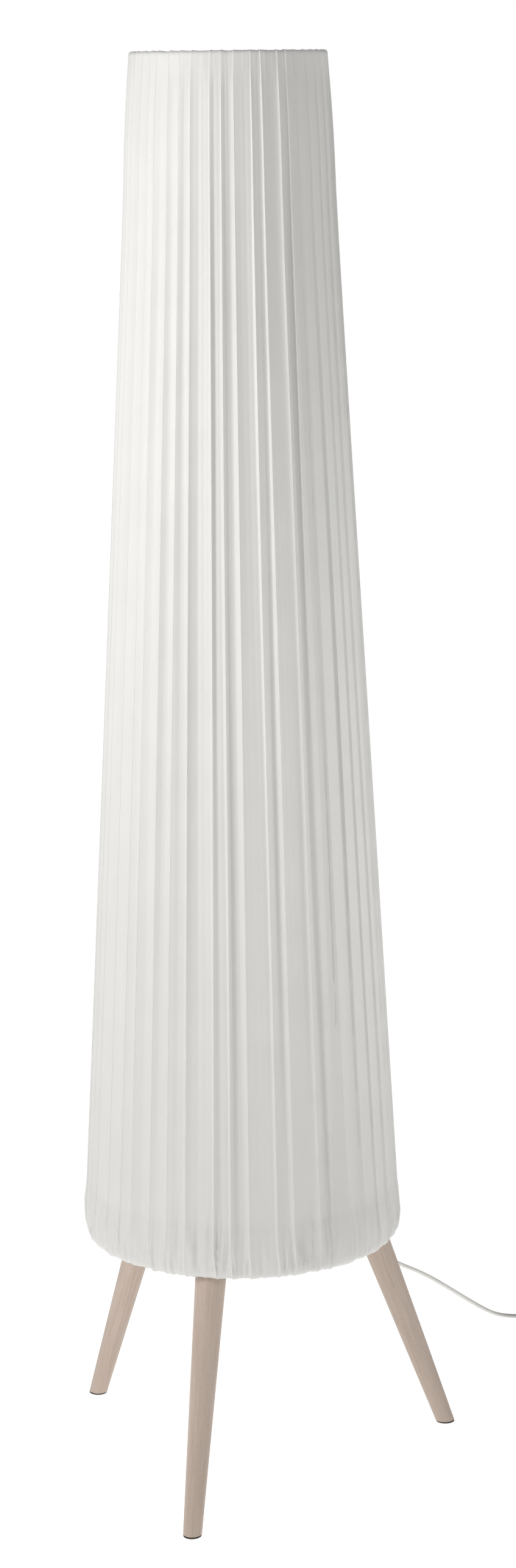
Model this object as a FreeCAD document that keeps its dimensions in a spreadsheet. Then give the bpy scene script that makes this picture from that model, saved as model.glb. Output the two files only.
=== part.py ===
"""Tripod floor lamp: three turned legs, a tall pleated shade, a lampholder on a stem and a flat lead.

The frame is the floor under the lamp's axis, with +Z up. All sizes are in millimetres.
"""
import FreeCAD, Part

import math
import os

import Sketcher
from FreeCAD import Placement, Rotation, Vector

doc = FreeCAD.newDocument("tripod_floor_lamp")
sheet = doc.addObject("Spreadsheet::Sheet", "Sizes")

SIZES = {
    # legs and what they fasten to
    "leg_circle": 185.0,  # radius of the circle that the foot centres stand on
    "leg_tilt": 20.265,  # degrees from upright, leaning in towards the stem
    "leg_length": 326.0,  # along the leg, from the floor to its top face
    "leg_foot_radius": 7.8,
    "leg_top_radius": 15.7,
    "leg_azimuth": 16.13,  # degrees from +X to the right-hand leg
    "pad_thick": 1.5,
    "stud_radius": 4.0,
    "stud_in_wood": 35.0,
    "stud_above": 12.0,
    "weld_nut_radius": 7.5,
    "weld_nut_tall": 6.5,
    "plate_thick": 3.0,
    "plate_bottom": 299.5,
    "plate_radius": 56.0,
    "tab_radius": 18.0,
    # stem
    "stem_radius": 6.5,
    "stem_bore": 5.05,
    "stem_top": 604.0,
    "nipple_radius": 5.0,
    "nipple_bore": 3.9,
    "flange_radius": 17.0,
    "flange_thick": 3.5,
    "fitter_radius": 25.0,
    "fitter_thick": 2.0,
    # shade
    "shade_wall": 3.0,
    "top_ring_radius": 74.1,
    "top_ring_height": 1184.4,
    "bottom_ring_radius": 130.0,
    "bottom_ring_height": 214.0,
    "ring_wire": 2.5,
    "rib_wire": 1.75,
    "arm_wire": 2.0,
    "hem_radius": 125.5,  # inner edge of the drawn-in hem, just outside the legs
    "elastic_wire": 1.0,
    # lampholder and bulb
    "holder_base": 604.0,
    "holder_radius": 19.5,
    "thread_radius": 13.1,  # outside of the bulb's screw cap
    "contact_height": 634.0,  # where the bulb's tip stands on the centre contact
    "globe_radius": 30.0,
    # lead, switch and plug
    "lead_radius": 2.25,  # a round tube of the flat lead's own section area
    "lead_exit": 246.0,
    "switch_long": 78.0,
    "switch_wide": 36.0,
    "switch_tall": 18.0,
    "switch_split": 7.0,
    "switch_wall": 2.0,
    "switch_screw_out": 25.0,  # from the switch's middle to each of its two screws
    "button_radius": 11.0,
    "coil_inner": 26.1,
    "coil_outer": 36.9,
    "coil_bottom": 0.9,
    "coil_tall": 11.0,
    "plug_wide": 35.3,
    "plug_thick": 13.7,
    "plug_long": 36.0,
    "pin_radius": 2.0,
    "pin_gap": 18.6,
}

# Free points of the lead, from the strain relief's tip to the switch's inlet, chosen by hand.
LEAD_ROUTE = [
    (0.0, 0.0, 246.0),
    (0.0, 0.0, 221.0),
    (11.5, 13.7, 193.5),
    (36.6, 43.7, 173.0),
    (69.4, 82.7, 158.0),
    (105.0, 125.2, 138.5),
    (138.5, 165.2, 107.0),
    (171.0, 203.8, 79.5),
    (204.4, 243.6, 44.0),
    (235.0, 280.0, 13.0),
    (254.0, 295.5, 3.0),
    (278.5, 297.5, 2.3),
    (301.3, 287.0, 2.3),
    (316.7, 267.3, 3.4),
    (322.4, 246.0, 7.0),
]
# From the switch's outlet to the coil, and from the coil to the plug.
LEAD_IN_ROUTE = [(342.6, 170.7, 7.0), (347.4, 150.4, 3.0), (349.0, 131.0, 3.4), (347.6, 112.0, 4.0)]
TAIL_ROUTE = [(347.6, 97.0, 9.0), (348.6, 76.0, 8.0), (346.6, 54.0, 3.4), (341.4, 33.0, 6.85)]
SWITCH_HEADING = -75.0  # degrees, the way the lead runs through the switch
PLUG_HEADING = -104.0
COIL_CENTRE = Vector(313.0, 104.0, 0.0)

LEG_NAMES = ["leg_right", "leg_back", "leg_front"]
RIB_COUNT = 6


def fill_sheet():
    for row, (alias, value) in enumerate(SIZES.items(), start=1):
        sheet.set(f"A{row}", alias)
        sheet.set(f"B{row}", str(value))
        sheet.setAlias(f"B{row}", alias)
    doc.recompute()


def size(alias):
    return float(getattr(sheet, alias))


def bind(item, **sizes):
    """Binds an object's properties to expressions of the sheet's cells."""
    for prop, expression in sizes.items():
        item.setExpression(prop, expression)
    return item


def label(item, node=None):
    if node:
        item.Label = node
        nodes.append(item)
    return item


nodes = []


# ---------------------------------------------------------------- building blocks
def place(x=0.0, y=0.0, z=0.0, rotation=None):
    return Placement(Vector(x, y, z), rotation or Rotation())


def rod(radius, height, at=None, node=None):
    """A cylinder whose radius and height are expressions."""
    item = bind(doc.addObject("Part::Cylinder", node or "rod"), Radius=radius, Height=height)
    item.Placement = at or Placement()
    return label(item, node)


def block(length, width, height, at=None, node=None):
    item = bind(doc.addObject("Part::Box", node or "block"), Length=length, Width=width, Height=height)
    item.Placement = at or Placement()
    return label(item, node)


def ring(radius, wire, at=None, node=None):
    item = bind(doc.addObject("Part::Torus", node or "ring"), Radius1=radius, Radius2=wire)
    item.Placement = at or Placement()
    return label(item, node)


def hexagon(radius, height, at=None):
    item = bind(doc.addObject("Part::Prism", "hexagon"), Circumradius=radius, Height=height)
    item.Polygon = 6
    item.Placement = at or Placement()
    return item


def cut(base, tool, node=None):
    item = doc.addObject("Part::Cut", node or "cut")
    item.Base, item.Tool = base, tool
    return label(item, node)


def fuse(items, node=None):
    item = doc.addObject("Part::MultiFuse", node or "fuse")
    item.Shapes = items
    item.Refine = True
    return label(item, node)


def common(items, node=None):
    item = doc.addObject("Part::MultiCommon", node or "common")
    item.Shapes = items
    return label(item, node)


def group(items, node):
    """Identical pieces that share a node, as separate solids."""
    item = doc.addObject("Part::Compound", node)
    item.Links = items
    return label(item, node)


def plane_of(body, role):
    return next(item for item in body.Origin.OriginFeatures if item.Role == role)


def turned(outline, at=None, node=None):
    """A PartDesign body revolved about its own Z axis.

    The outline is a closed list of (radius, height) expressions, at a radius of 0 or more.
    """
    body = doc.addObject("PartDesign::Body", node or "turned")
    sketch = body.newObject("Sketcher::SketchObject", "outline")
    sketch.AttachmentSupport = [(plane_of(body, "XZ_Plane"), "")]
    sketch.MapMode = "FlatFace"
    points = [tuple(evaluate(text) for text in pair) for pair in outline]
    count = len(points)
    for index in range(count):
        start, end = points[index], points[(index + 1) % count]
        sketch.addGeometry(Part.LineSegment(Vector(*start, 0), Vector(*end, 0)), False)
    for index in range(count):
        sketch.addConstraint(Sketcher.Constraint("Coincident", index, 2, (index + 1) % count, 1))
    for index, (pair, point) in enumerate(zip(outline, points)):
        for kind, text, value in zip(("DistanceX", "DistanceY"), pair, point):
            number = sketch.addConstraint(Sketcher.Constraint(kind, -1, 1, index, 1, value))
            sketch.setExpression(f"Constraints[{number}]", text)
    revolve = body.newObject("PartDesign::Revolution", "revolve")
    revolve.Profile = sketch
    revolve.ReferenceAxis = (sketch, ["V_Axis"])
    revolve.Angle = 360.0
    body.Placement = at or Placement()
    return label(body, node)


def evaluate(text):
    """The value of an expression of the sheet's cells."""
    return float(sheet.evalExpression(text.replace("Sizes.", "")))


def solid(shape, node, at=None):
    """A piece whose shape no primitive or sketch makes, read from the sheet by its own function."""
    item = doc.addObject("Part::Feature", node)
    item.Shape = shape
    if at:
        item.Placement = at
    return label(item, node)


def route_wire(points, named=None):
    """Straight runs joined by tangent arcs, each as large as its two runs allow."""
    points = [Vector(*point) for point in points]
    edges, radii, start = [], [], points[0]
    for before, corner, after in zip(points, points[1:], points[2:]):
        back, ahead = before - corner, after - corner
        shorter = min(back.Length, ahead.Length)
        back.normalize()
        ahead.normalize()
        half_turn = (math.pi - back.getAngle(ahead)) / 2
        trim = 0.45 * shorter
        radius = trim / math.tan(half_turn)
        radii.append(radius)
        first, last = corner + back * trim, corner + ahead * trim
        inward = back + ahead
        inward.normalize()
        middle = corner + inward * (radius / math.cos(half_turn) - radius)
        edges.append(Part.LineSegment(start, first).toShape())
        edges.append(Part.Arc(first, middle, last).toShape())
        start = last
    edges.append(Part.LineSegment(start, points[-1]).toShape())
    if named:
        print(named, "radii", [round(radius, 1) for radius in radii])
    return Part.Wire(edges)


def tube(points, radius, named=None):
    """A round bar along a route, with its volume compared with its section times its length."""
    path = route_wire(points, named)
    start = Vector(*points[0])
    circle = Part.Circle(start, Vector(*points[1]) - start, radius)
    shape = path.makePipeShell([Part.Wire([circle.toShape()])], True, False)
    expected = math.pi * radius**2 * path.Length
    if abs(shape.Volume / expected - 1) > 0.01 or not shape.isValid():
        raise ValueError(f"the bar {named} has volume {shape.Volume:.0f}, not {expected:.0f}")
    if named:
        print(named, "length", round(path.Length, 1), "volume ratio", round(shape.Volume / expected, 4))
    return shape


def revolved_face(edges):
    """A full turn about Z of a closed outline in the XZ plane."""
    face = Part.Face(Part.Wire(edges))
    return face.revolve(Vector(0, 0, 0), Vector(0, 0, 1), 360)


def line(start, end):
    return Part.LineSegment(Vector(start[0], 0, start[1]), Vector(end[0], 0, end[1])).toShape()


def arc(start, middle, end):
    ends = [Vector(radius, 0, height) for radius, height in (start, middle, end)]
    return Part.Arc(*ends).toShape()


# ---------------------------------------------------------------- legs and plate
def leg_frames():
    """Each leg's name and its frame: origin on the floor, Z up along the leg, X outward."""
    for index, name in enumerate(LEG_NAMES):
        azimuth = size("leg_azimuth") + 120.0 * index
        turn = Rotation(Vector(0, 0, 1), azimuth)
        lean = Rotation(Vector(0, 1, 0), -size("leg_tilt"))
        foot = turn.multVec(Vector(size("leg_circle"), 0, 0))
        yield name, Placement(foot, turn * lean)


def up_leg(frame, along, out=0.0, across=0.0):
    return frame * place(out, across, along)


def taper(along):
    """The leg's radius at a distance up it, as an expression."""
    grow = "(Sizes.leg_top_radius - Sizes.leg_foot_radius) / Sizes.leg_length"
    return f"Sizes.leg_foot_radius + {grow} * ({along})"


def make_legs():
    below = 5.0  # the blank runs on past the floor, and is sawn level there
    floor_saw = block("600", "600", "Sizes.pad_thick + 20", place(-300, -300, -20))
    bore = "Sizes.stud_radius + 0.1"
    deep = "Sizes.leg_length - Sizes.stud_in_wood - 1"
    for name, frame in leg_frames():
        outline = [
            ("0", f"-{below}"),
            (taper(f"-{below}"), f"-{below}"),
            (taper("Sizes.leg_length - 1.5"), "Sizes.leg_length - 1.5"),
            ("Sizes.leg_top_radius - 1.5", "Sizes.leg_length"),
            (bore, "Sizes.leg_length"),
            (bore, deep),
            ("0", deep),
        ]
        cut(turned(outline, frame), floor_saw, name)


def make_pads():
    slab = block("600", "600", "Sizes.pad_thick", place(-300, -300, 0))
    for name, frame in leg_frames():
        blank = bind(
            doc.addObject("Part::Cone", "pad_blank"),
            Radius1="Sizes.leg_foot_radius - 0.35",
            Radius2="Sizes.leg_foot_radius - 0.1",
            Height="16",
        )
        blank.Placement = up_leg(frame, -6.0)
        common([blank, slab], name.replace("leg", "foot_pad"))


def make_plate():
    plate = [rod("Sizes.plate_radius", "Sizes.plate_thick", place(z=size("plate_bottom")))]
    holes = [rod("Sizes.nipple_radius + 0.2", "12", place(z=size("plate_bottom") - 4))]
    reach = size("tab_radius") + 0.5
    for _, frame in leg_frames():
        top = up_leg(frame, size("leg_length"))
        plate.append(rod("Sizes.tab_radius", "Sizes.plate_thick", top))
        tab = top * place(-reach, -size("tab_radius"), 0)
        plate.append(block(str(reach), "Sizes.tab_radius * 2", "Sizes.plate_thick", tab))
        holes.append(rod("Sizes.stud_radius + 0.4", "12", top * place(z=-4)))
    cut(fuse(plate), fuse(holes), "leg_plate")


def make_studs_and_nuts():
    studs, nuts = [], []
    edge = 0.8
    for _, frame in leg_frames():
        start = "Sizes.leg_length - Sizes.stud_in_wood"
        end = "Sizes.leg_length + Sizes.stud_above"
        outline = [
            ("0", start),
            (f"Sizes.stud_radius - {edge}", start),
            ("Sizes.stud_radius", f"{start} + {edge}"),
            ("Sizes.stud_radius", f"{end} - {edge}"),
            (f"Sizes.stud_radius - {edge}", end),
            ("0", end),
        ]
        studs.append(turned(outline, frame))
        seat = up_leg(frame, size("leg_length") + size("plate_thick"))
        body = hexagon("Sizes.weld_nut_radius", "Sizes.weld_nut_tall", seat)
        nuts.append(cut(body, rod("Sizes.stud_radius + 0.1", "20", seat * place(z=-5))))
    group(studs, "leg_studs")
    group(nuts, "leg_weld_nuts")


# ---------------------------------------------------------------- stem
def make_stem():
    fitter_top = size("plate_bottom") + size("plate_thick") + size("fitter_thick")
    flange_top = fitter_top + size("flange_thick")
    turned(
        [
            ("Sizes.stem_radius + 0.05", f"{fitter_top}"),
            ("Sizes.flange_radius", f"{fitter_top}"),
            ("Sizes.flange_radius", f"{fitter_top} + Sizes.flange_thick - 1"),
            ("Sizes.flange_radius - 1", f"{flange_top}"),
            ("Sizes.stem_radius + 2.5", f"{flange_top}"),
            ("Sizes.stem_radius + 0.05", f"{flange_top + 2.5}"),
        ],
        node="stem_flange",
    )
    stem = pipe_outline("Sizes.stem_radius", "Sizes.stem_bore", fitter_top, size("stem_top"))
    turned(stem, node="stem_tube")
    nipple = ("Sizes.nipple_radius", "Sizes.nipple_bore")
    turned(pipe_outline(*nipple, 280.0, 330.0), node="stem_nipple")
    turned(pipe_outline(*nipple, size("stem_top") - 16, size("stem_top") + 12), node="holder_nipple")


def pipe_outline(outer, inner, low, high, edge=0.4):
    """A pipe's half section, with its outer edges broken."""
    return [
        (inner, f"{low}"),
        (f"{outer} - {edge}", f"{low}"),
        (outer, f"{low + edge}"),
        (outer, f"{high - edge}"),
        (f"{outer} - {edge}", f"{high}"),
        (inner, f"{high}"),
    ]


def make_stem_fasteners():
    bottom = size("plate_bottom")
    turned(pipe_outline("10", "Sizes.nipple_radius + 0.1", bottom - 1.5, bottom, 0.2), node="stem_washer")
    bore = rod("Sizes.nipple_radius + 0.05", "10", place(z=bottom - 8))
    cut(hexagon("8.1", "4", place(z=bottom - 5.5)), bore, "stem_nut")


def make_gland():
    """A cap nut on the nipple's lower end, which holds the collar of a tapered sleeve."""
    thread = "Sizes.nipple_radius + 0.05"
    turned(
        [
            ("4.3", "276"),
            ("8", "276"),
            ("9", "277"),
            ("9", "289"),
            ("8.4", "290"),
            (thread, "290"),
            (thread, "279"),
            ("4.3", "279"),
        ],
        node="cord_gland",
    )
    bore = "Sizes.lead_radius + 0.05"
    turned(
        [
            (bore, "Sizes.lead_exit"),
            ("3.3", "Sizes.lead_exit"),
            ("3.7", "Sizes.lead_exit + 1"),
            ("5.6", "275.9"),
            ("4.2", "275.9"),
            ("4.2", "279.05"),
            ("4.8", "279.05"),
            ("4.8", "279.95"),
            (bore, "279.95"),
        ],
        node="strain_relief",
    )


# ---------------------------------------------------------------- shade
def make_shade_frame():
    top = place(z=size("top_ring_height"))
    bottom = place(z=size("bottom_ring_height"))
    ring("Sizes.top_ring_radius", "Sizes.ring_wire", top, "shade_top_ring")
    ring("Sizes.bottom_ring_radius", "Sizes.ring_wire", bottom, "shade_bottom_ring")
    inside = size("ring_wire") + size("rib_wire") + 0.1
    foot = Vector(size("bottom_ring_radius") - inside, 0, size("bottom_ring_height") - 2)
    head = Vector(size("top_ring_radius") - inside, 0, size("top_ring_height") - 1)
    for index in range(RIB_COUNT):
        azimuth = size("leg_azimuth") + 30.0 + 360.0 / RIB_COUNT * index
        turn = Rotation(Vector(0, 0, 1), azimuth)
        start, end = turn.multVec(foot), turn.multVec(head)
        along = Rotation(Vector(0, 0, 1), end - start)
        length = str(round((head - foot).Length, 3))
        rod("Sizes.rib_wire", length, Placement(start, along), f"shade_rib_{index + 1}")


def make_fitter():
    """The shade's lower spider: a plate under the stem's flange and three arms to the bottom ring."""
    low = size("plate_bottom") + size("plate_thick")
    plate = Part.makeCylinder(size("fitter_radius"), size("fitter_thick"), Vector(0, 0, low))
    plate = plate.cut(Part.makeCylinder(size("nipple_radius") + 0.2, 12, Vector(0, 0, low - 4)))
    wire_high = low + size("fitter_thick") + size("arm_wire") - 0.3
    bend = (70.0, wire_high)
    ring_at = (size("bottom_ring_radius"), size("bottom_ring_height"))
    reach = math.hypot(ring_at[0] - bend[0], ring_at[1] - bend[1])
    stop = 1 - (size("ring_wire") + 0.1) / reach
    tip = tuple(a + (b - a) * stop for a, b in zip(bend, ring_at))
    shape = plate
    for index in range(3):
        arm = tube(
            [(size("flange_radius") + 1, 0, wire_high), (bend[0], 0, bend[1]), (tip[0], 0, tip[1])],
            size("arm_wire"),
        )
        arm.rotate(Vector(0, 0, 0), Vector(0, 0, 1), size("leg_azimuth") + 60.0 + 120.0 * index)
        shape = shape.fuse(arm)
    solid(shape.removeSplitter(), "shade_fitter")


def fabric_radius(height):
    """The outside of the stretched cover between its two rings."""
    return 79.9 + 0.0569 * (1180.0 - height)


def make_fabric():
    """The cover: outside wall, rolled over the top ring and drawn in under the bottom ring."""
    wall = size("shade_wall")
    ring_r, ring_z = size("top_ring_radius"), size("top_ring_height")
    outer, inner = 5.6, 2.8  # radii of the roll over the top ring's wire
    over_outer = (ring_r - outer * math.sqrt(0.5), ring_z + outer * math.sqrt(0.5))
    over_inner = (ring_r - inner * math.sqrt(0.5), ring_z + inner * math.sqrt(0.5))
    shoulder_z, shoulder_end, hip_z = 1130.0, 1070.0, 246.0
    shoulder, below = fabric_radius(shoulder_z) + 0.9, fabric_radius(shoulder_end)
    hip, hem = fabric_radius(hip_z), size("hem_radius")
    outside = [
        arc(over_outer, (ring_r, ring_z + outer), (ring_r + outer, ring_z)),
        arc((ring_r + outer, ring_z), (shoulder, shoulder_z), (below, shoulder_end)),
        line((below, shoulder_end), (hip, hip_z)),
        arc((hip, hip_z), (135.2, 221), (134.3, 211)),
        arc((134.3, 211), (132.3, 204.7), (127.6, 201.5)),
        line((127.6, 201.5), (hem, 202.4)),
    ]
    inside = [
        line((hem, 202.4), (hem, 204.0)),
        line((hem, 204.0), (127.4, 203.5)),
        arc((127.4, 203.5), (130.9, 206.3), (132.8, 214)),
        arc((132.8, 214), (132.4, 222), (hip - wall, hip_z)),
        line((hip - wall, hip_z), (below - wall, shoulder_end)),
        arc((below - wall, shoulder_end), (shoulder - wall, shoulder_z), (ring_r + inner, ring_z)),
        arc((ring_r + inner, ring_z), (ring_r, ring_z + inner), over_inner),
        line(over_inner, over_outer),
    ]
    solid(revolved_face(outside + inside), "shade_fabric")
    ring("Sizes.hem_radius + 1.5", "Sizes.elastic_wire", place(z=205.9), "hem_elastic")


# ---------------------------------------------------------------- lampholder
def make_holder():
    base = "Sizes.holder_base"
    wide = "Sizes.holder_radius"
    thread = "Sizes.nipple_radius + 0.05"
    turned(
        [
            (thread, f"{base} + 0.1"),
            ("7.5", f"{base} + 0.1"),
            ("8.3", f"{base} + 1"),
            ("8.3", f"{base} + 8"),
            (f"{wide} - 3", f"{base} + 12"),
            (wide, f"{base} + 17"),
            (wide, f"{base} + 22"),
            (f"{wide} - 2", f"{base} + 22"),
            (f"{wide} - 2", f"{base} + 17.6"),
            (f"{wide} - 4", f"{base} + 14"),
            (thread, f"{base} + 12"),
        ],
        node="holder_cap",
    )
    turned(
        [
            (f"{wide} - 1.8", f"{base} + 22.1"),
            (wide, f"{base} + 22.1"),
            (wide, f"{base} + 48"),
            (f"{wide} - 1", f"{base} + 52"),
            ("14.9", f"{base} + 52"),
            ("14.9", f"{base} + 50.2"),
            (f"{wide} - 1.8", f"{base} + 50.2"),
        ],
        node="holder_skirt",
    )
    turned(
        [
            ("3", f"{base} + 20"),
            ("16.5", f"{base} + 20"),
            ("16.5", f"{base} + 34"),
            ("14.6", f"{base} + 34"),
            ("14.6", f"{base} + 28"),
            ("3", f"{base} + 28"),
        ],
        node="holder_insert",
    )
    turned(
        [
            ("13.5", f"{base} + 28.1"),
            ("14.5", f"{base} + 28.1"),
            ("14.5", f"{base} + 50"),
            ("13.5", f"{base} + 50"),
        ],
        node="holder_thread",
    )
    tongue = "Sizes.contact_height - 0.3"
    turned([("0", "632.1"), ("4", "632.1"), ("4", tongue), ("0", tongue)], node="holder_contact")
    screw_at = size("holder_base") + 16.0
    screws = [rod("1.5", "3.9", place(side * 9.0, 0, screw_at)) for side in (-1, 1)]
    group(screws, "holder_terminals")


# ---------------------------------------------------------------- bulb
def make_bulb():
    tip = size("contact_height")
    button = [
        ("0", f"{tip}"),
        ("3.5", f"{tip}"),
        ("4.5", f"{tip + 1.2}"),
        ("4.5", f"{tip + 2}"),
        ("0", f"{tip + 2}"),
    ]
    turned(button, node="bulb_contact")
    turned(
        [("0", f"{tip + 2.05}"), ("5.5", f"{tip + 2.05}"), ("10", f"{tip + 6}"), ("0", f"{tip + 6}")],
        node="bulb_insulator",
    )
    turned(thread_outline(tip + 6.05), node="bulb_cap")
    make_globe(tip + 27.0)


def thread_outline(low):
    """The screw cap: knuckle ridges at the thread's pitch, then the plain collar."""
    pitch, ridges, valley = 3.63, 4, 1.1
    outline = [("0", f"{low}"), ("10.6", f"{low}")]
    for index in range(ridges):
        start = low + 1.4 + pitch * index
        outline += [
            (f"Sizes.thread_radius - {valley}", f"{start}"),
            ("Sizes.thread_radius - 0.3", f"{start + 0.8}"),
            ("Sizes.thread_radius", f"{start + pitch / 2}"),
            ("Sizes.thread_radius - 0.3", f"{start + pitch - 0.8}"),
        ]
    collar = low + 1.4 + pitch * ridges
    return outline + [
        (f"Sizes.thread_radius - {valley}", f"{collar}"),
        ("Sizes.thread_radius - 0.2", f"{collar + 1.2}"),
        ("Sizes.thread_radius + 0.2", f"{low + 20.9}"),
        ("0", f"{low + 20.9}"),
    ]


def make_globe(neck):
    """The opal envelope: a neck that flares into a sphere."""
    ball = size("globe_radius")
    centre = neck + 48.0
    wall = 1.0
    mouth = 13.2
    flare = 16.8  # radius of the neck where it starts to widen into the ball
    join = math.radians(-30)  # where the neck meets the ball, seen from its centre
    outer_side = (ball * math.cos(join), centre + ball * math.sin(join))
    edges = [
        line((0, neck + 0.05), (mouth, neck + 0.05)),
        arc((mouth, neck + 0.05), (flare, neck + 16), outer_side),
        arc(outer_side, (ball, centre), (0, centre + ball)),
        line((0, centre + ball), (0, centre + ball - wall)),
    ]
    slim = ball - wall
    inner_side = (slim * math.cos(join), centre + slim * math.sin(join))
    edges += [
        arc((0, centre + slim), (slim, centre), inner_side),
        arc(inner_side, (flare - wall, neck + 16.2), (mouth - wall, neck + 1.05)),
        line((mouth - wall, neck + 1.05), (0, neck + 1.05)),
        line((0, neck + 1.05), (0, neck + 0.05)),
    ]
    solid(revolved_face(edges), "bulb_globe")


# ---------------------------------------------------------------- lead and coil
def make_lead():
    radius = size("lead_radius")
    exit_at = size("lead_exit")
    holder_end = size("holder_base") + 19.5
    rod("Sizes.lead_radius", f"{holder_end - exit_at - 0.05}", place(z=exit_at + 0.05), "cord_inside")
    solid(tube(LEAD_ROUTE, radius, "cord_run"), "cord_run")
    solid(tube(LEAD_IN_ROUTE, radius, "cord_to_coil"), "cord_to_coil")
    solid(tube(TAIL_ROUTE, radius, "cord_to_plug"), "cord_to_plug")


def make_coil():
    low = size("coil_bottom")
    at = Placement(COIL_CENTRE + Vector(0, 0, low), Rotation())
    outside = rod("Sizes.coil_outer", "Sizes.coil_tall", at)
    inside = rod("Sizes.coil_inner", "Sizes.coil_tall + 10", at * place(z=-5))
    cut(outside, inside, "cord_coil")
    # The tie is a flat band round the bundle of turns, on the side away from the lead's two ends.
    thick, clear, broad = 0.75, 0.1, 5.0
    deep = size("coil_outer") - size("coil_inner") + 2 * clear
    high = size("coil_tall") + 2 * clear
    middle = (size("coil_outer") + size("coil_inner")) / 2
    at = Placement(COIL_CENTRE, Rotation(Vector(0, 0, 1), 180.0))
    curve = 1.2  # the bundle's outside bulges past a straight band by this much
    reach = deep / 2 + curve
    outer = block(str(2 * (reach + thick)), str(broad), str(high + 2 * thick),
                  at * place(middle - reach - thick, -broad / 2, low - clear - thick))
    hole = block(str(2 * reach), "20", str(high), at * place(middle - reach, -10, low - clear))
    cut(outer, hole, "coil_tie")


# ---------------------------------------------------------------- foot switch
def switch_frame():
    """Origin on the floor under the switch's middle, X along the lead."""
    turn = Rotation(Vector(0, 0, 1), SWITCH_HEADING)
    inlet = Vector(*LEAD_ROUTE[-1])
    middle = inlet + turn.multVec(Vector(size("switch_long") / 2, 0, 0))
    return Placement(Vector(middle.x, middle.y, 0), turn)


def capsule(length, width, height, at):
    """A block with round ends, lying along X, centred on its placement."""
    half = f"(({length}) - ({width})) / 2"
    straight = evaluate(half)
    middle = block(f"2 * {half}", width, height, at * place(-straight, -evaluate(width) / 2, 0))
    ends = [rod(f"({width}) / 2", height, at * place(side * straight)) for side in (-1, 1)]
    return fuse([middle] + ends)


def rounded_top(item, radius):
    """Rounds the edges of the upper face of a capsule."""
    doc.recompute()
    top = item.Shape.BoundBox.ZMax
    chosen = [
        (index, radius, radius)
        for index, edge in enumerate(item.Shape.Edges, start=1)
        if abs(edge.BoundBox.ZMin - top) < 1e-6
    ]
    rounded = doc.addObject("Part::Fillet", "rounded")
    rounded.Base = item
    rounded.Edges = chosen
    return rounded


def make_switch():
    frame = switch_frame()
    wall = "Sizes.switch_wall"
    outside = rounded_top(capsule("Sizes.switch_long", "Sizes.switch_wide", "Sizes.switch_tall", frame), 5.0)
    inside = capsule(
        f"Sizes.switch_long - 2 * {wall}",
        f"Sizes.switch_wide - 2 * {wall}",
        f"Sizes.switch_tall - 2 * {wall}",
        frame * place(z=size("switch_wall")),
    )
    split = size("switch_split")
    along = Rotation(Vector(0, 1, 0), 90)
    half = size("switch_long") / 2
    nubs = [rod("5", "8", frame * Placement(Vector(x, 0, split), along)) for x in (-half - 5, half - 3)]
    bores = [
        rod("Sizes.lead_radius + 0.4", "16", frame * Placement(Vector(x, 0, split), along))
        for x in (-half - 8, half - 8)
    ]
    opening = rod("Sizes.button_radius + 0.4", "12", frame * place(z=size("switch_tall") - 6))
    posts, shafts, heads = [], [], []
    for side in (-1, 1):
        out = side * size("switch_screw_out")
        posts.append(rod("3.6", "Sizes.switch_tall - 2", frame * place(out, 0, 1)))
        shafts.append(rod("1.6", "12", frame * place(out, 0, -1)))
        heads.append(rod("3.1", "3.5", frame * place(out, 0, -1)))
    shell = fuse([cut(fuse([outside] + nubs), inside)] + posts)
    housing = cut(shell, fuse(bores + [opening] + shafts + heads))
    low = block("120", "60", f"Sizes.switch_split + 5", frame * place(-60, -30, -5))
    high = block("120", "60", "30", frame * place(-60, -30, split))
    common([housing, low], "switch_base")
    common([housing, high], "switch_cover")
    make_switch_inside(frame)


def make_switch_inside(frame):
    ceiling = size("switch_tall") - size("switch_wall")
    radius = "Sizes.button_radius"
    turned(
        [
            ("0", "6.3"),
            ("2.4", "6.3"),
            ("2.4", f"{ceiling - 2}"),
            (f"{radius} + 1.8", f"{ceiling - 2}"),
            (f"{radius} + 1.8", f"{ceiling - 0.3}"),
            (radius, f"{ceiling - 0.3}"),
            (radius, "21"),
            (f"{radius} - 1.2", "22.2"),
            (f"{radius} - 5", "22.8"),
            ("0", "23"),
        ],
        frame,
        "switch_button",
    )
    wire, coil_radius, low, high = 0.35, 4.6, 2.4, 13.6
    helix = Part.makeHelix((high - low) / 4, high - low, coil_radius)
    circle = Part.Wire([Part.Circle(Vector(coil_radius, 0, 0), Vector(0, 1, 0), wire).toShape()])
    spring = Part.Wire(helix.Edges).makePipeShell([circle], True, True)
    solid(spring, "switch_spring", frame * place(z=low))
    outline = [("0", "0.4"), ("2.8", "0.4"), ("2.8", "2.4"), ("1.5", "2.4"), ("1.5", "10.6"), ("0", "10.6")]
    places = [frame * place(side * size("switch_screw_out")) for side in (-1, 1)]
    group([turned(outline, at) for at in places], "switch_screws")
    blades = [block("7", "4", "2.6", frame * place(x, -2, 2.1)) for x in (-17, 10)]
    group(blades, "switch_contacts")


# ---------------------------------------------------------------- plug
def plug_frame():
    """Origin on the floor under the lead's end, X towards the pins."""
    end = Vector(*TAIL_ROUTE[-1])
    return Placement(Vector(end.x, end.y, 0), Rotation(Vector(0, 0, 1), PLUG_HEADING))


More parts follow.
